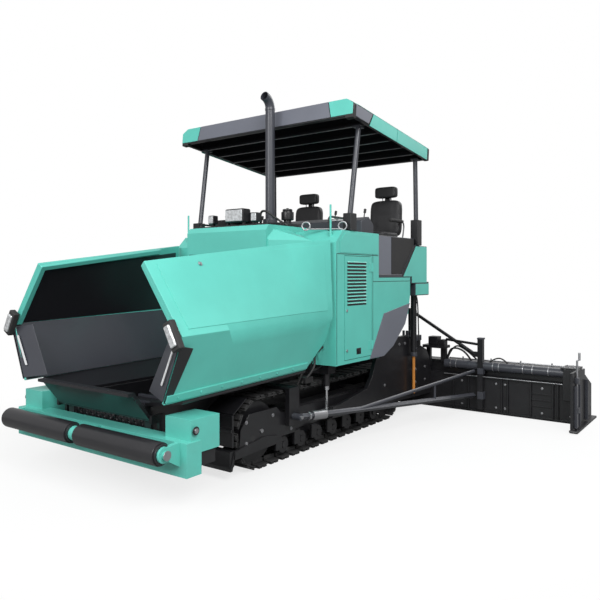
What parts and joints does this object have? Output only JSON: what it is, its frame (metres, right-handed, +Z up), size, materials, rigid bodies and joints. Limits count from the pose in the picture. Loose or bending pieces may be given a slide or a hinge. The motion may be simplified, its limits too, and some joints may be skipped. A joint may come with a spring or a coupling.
{
  "type": "tracked asphalt paver",
  "caption": "Tracked asphalt paver with a folding hopper, twin augers, a seat platform under a canopy and a full-width floating screed on tow arms.",
  "frame": {"origin": "ground level under the middle of the whole machine", "axes": "+Z up, the machine drives towards -Y, its left side is +X"},
  "size_m": [6.28, 6.095, 3.9914],
  "materials": {
    "teal_paint": "semi-gloss mint green machine paint",
    "black_paint": "semi-gloss black machine paint",
    "grey_paint": "dark grey machine paint",
    "bare_steel": "worn bare steel",
    "orange_rod": "orange-brown painted rod",
    "track_rubber": "dusty black rubber",
    "seat_vinyl": "black vinyl",
    "lamp_plastic": "clear lamp lens in a black bezel"
  },
  "bodies": {
    "chassis": {"air_precleaner": "grey_paint", "auger_gearbox": "black_paint", "cabinet_left": "teal_paint", "cabinet_right": "teal_paint", "canopy_post_front_left": "black_paint", "canopy_post_front_right": "black_paint", "canopy_post_rear_left": "black_paint", "canopy_post_rear_right": "black_paint", "canopy_roof": "teal_paint", "control_console": "grey_paint", "conveyor_left": "black_paint", "conveyor_right": "black_paint", "engine": "grey_paint", "engine_hood": "teal_paint", "exhaust_stack": "grey_paint", "handrail_left": "black_paint", "handrail_right": "black_paint", "headlamps": "lamp_plastic", "hopper_floor_left": "black_paint", "hopper_floor_right": "black_paint", "lift_barrel_left": "black_paint", "lift_barrel_right": "black_paint", "main_frame": "black_paint", "operator_platform": "grey_paint", "push_beam": "black_paint", "seat_base_left": "black_paint", "seat_base_right": "black_paint", "seat_pad_left": "seat_vinyl", "seat_pad_right": "seat_vinyl", "tow_cylinder_left": "bare_steel", "tow_cylinder_right": "bare_steel", "track_frame_left": "black_paint", "track_frame_right": "black_paint", "track_left": "track_rubber", "track_right": "track_rubber"},
    "push_roller_left": {"push_roller_left": "bare_steel"},
    "push_roller_right": {"push_roller_right": "bare_steel"},
    "hopper_wing_left": {"hopper_wing_left": "teal_paint"},
    "hopper_wing_right": {"hopper_wing_right": "teal_paint"},
    "front_apron": {"front_apron": "black_paint"},
    "service_door_left": {"service_door_left": "teal_paint"},
    "service_door_right": {"service_door_right": "teal_paint"},
    "auger_left": {"auger_left": "bare_steel"},
    "auger_right": {"auger_right": "bare_steel"},
    "screed": {"screed_main": "black_paint", "tow_arm_left": "black_paint", "tow_arm_right": "black_paint", "screed_extension_left": "black_paint", "screed_extension_right": "black_paint", "screed_stay_left": "black_paint", "screed_stay_right": "black_paint"},
    "lift_rod_left": {"lift_rod_left": "orange_rod"},
    "lift_rod_right": {"lift_rod_right": "orange_rod"},
    "screed_brace_left": {"screed_brace_left": "black_paint"},
    "screed_brace_right": {"screed_brace_right": "black_paint"},
    "end_gate_left": {"end_gate_left": "black_paint"},
    "end_gate_right": {"end_gate_right": "black_paint"}
  },
  "joints": [
    {"name": "push_roller_spin_left", "type": "hinge", "parent": "chassis", "child": "push_roller_left", "pos_m": [0.6, -2.9525, 0.49], "axis": [1, 0, 0], "continuous": true},
    {"name": "push_roller_spin_right", "type": "hinge", "parent": "chassis", "child": "push_roller_right", "pos_m": [-0.6, -2.9525, 0.49], "axis": [1, 0, 0], "continuous": true},
    {"name": "wing_fold_left", "type": "hinge", "parent": "chassis", "child": "hopper_wing_left", "pos_m": [1, -2.8525, 0.83], "axis": [0, 0.9997, 0.025], "range_deg": [-10, 42]},
    {"name": "wing_fold_right", "type": "hinge", "parent": "chassis", "child": "hopper_wing_right", "pos_m": [-1, -2.8525, 0.83], "axis": [0, -0.9997, -0.025], "range_deg": [-10, 42]},
    {"name": "apron_fold", "type": "hinge", "parent": "chassis", "child": "front_apron", "pos_m": [0, -2.6825, 0.655], "axis": [-1, 0, 0], "range_deg": [-10, 35]},
    {"name": "door_swing_left", "type": "hinge", "parent": "chassis", "child": "service_door_left", "pos_m": [1.228, 0.1415, 0.96], "axis": [0, 0, 1], "range_deg": [0, 100]},
    {"name": "door_swing_right", "type": "hinge", "parent": "chassis", "child": "service_door_right", "pos_m": [-1.228, 0.1415, 0.96], "axis": [0, 0, -1], "range_deg": [0, 100]},
    {"name": "auger_spin_left", "type": "hinge", "parent": "chassis", "child": "auger_left", "pos_m": [0.5, 1.6875, 0.4], "axis": [1, 0, 0], "continuous": true},
    {"name": "auger_spin_right", "type": "hinge", "parent": "chassis", "child": "auger_right", "pos_m": [-0.5, 1.6875, 0.4], "axis": [1, 0, 0], "continuous": true},
    {"name": "screed_lift", "type": "hinge", "parent": "chassis", "child": "screed", "pos_m": [0, -0.3525, 0.36], "axis": [1, 0, 0], "range_deg": [0, 7]},
    {"name": "lift_rod_slide_left", "type": "slide", "parent": "chassis", "child": "lift_rod_left", "axis": [0, 0, 1], "range_m": [0, 0.2236]},
    {"name": "lift_rod_slide_right", "type": "slide", "parent": "chassis", "child": "lift_rod_right", "axis": [0, 0, 1], "range_m": [0, 0.2236]},
    {"name": "brace_swing_left", "type": "hinge", "parent": "chassis", "child": "screed_brace_left", "pos_m": [1.1, -1.1325, 0.45], "axis": [1, 0, 0], "range_deg": [0, 5.3]},
    {"name": "brace_swing_right", "type": "hinge", "parent": "chassis", "child": "screed_brace_right", "pos_m": [-1.1, -1.1325, 0.45], "axis": [1, 0, 0], "range_deg": [0, 5.3]},
    {"name": "end_gate_slide_left", "type": "slide", "parent": "screed", "child": "end_gate_left", "axis": [0, 0, 1], "range_m": [0, 0.2]},
    {"name": "end_gate_slide_right", "type": "slide", "parent": "screed", "child": "end_gate_right", "axis": [0, 0, 1], "range_m": [0, 0.2]}
  ],
  "couplings": [
    {"joint": "lift_rod_slide_left", "follows": "screed_lift", "m_per_rad": 1.83},
    {"joint": "lift_rod_slide_right", "follows": "screed_lift", "m_per_rad": 1.83},
    {"joint": "brace_swing_left", "follows": "screed_lift", "ratio": 0.756},
    {"joint": "brace_swing_right", "follows": "screed_lift", "ratio": 0.756}
  ]
}
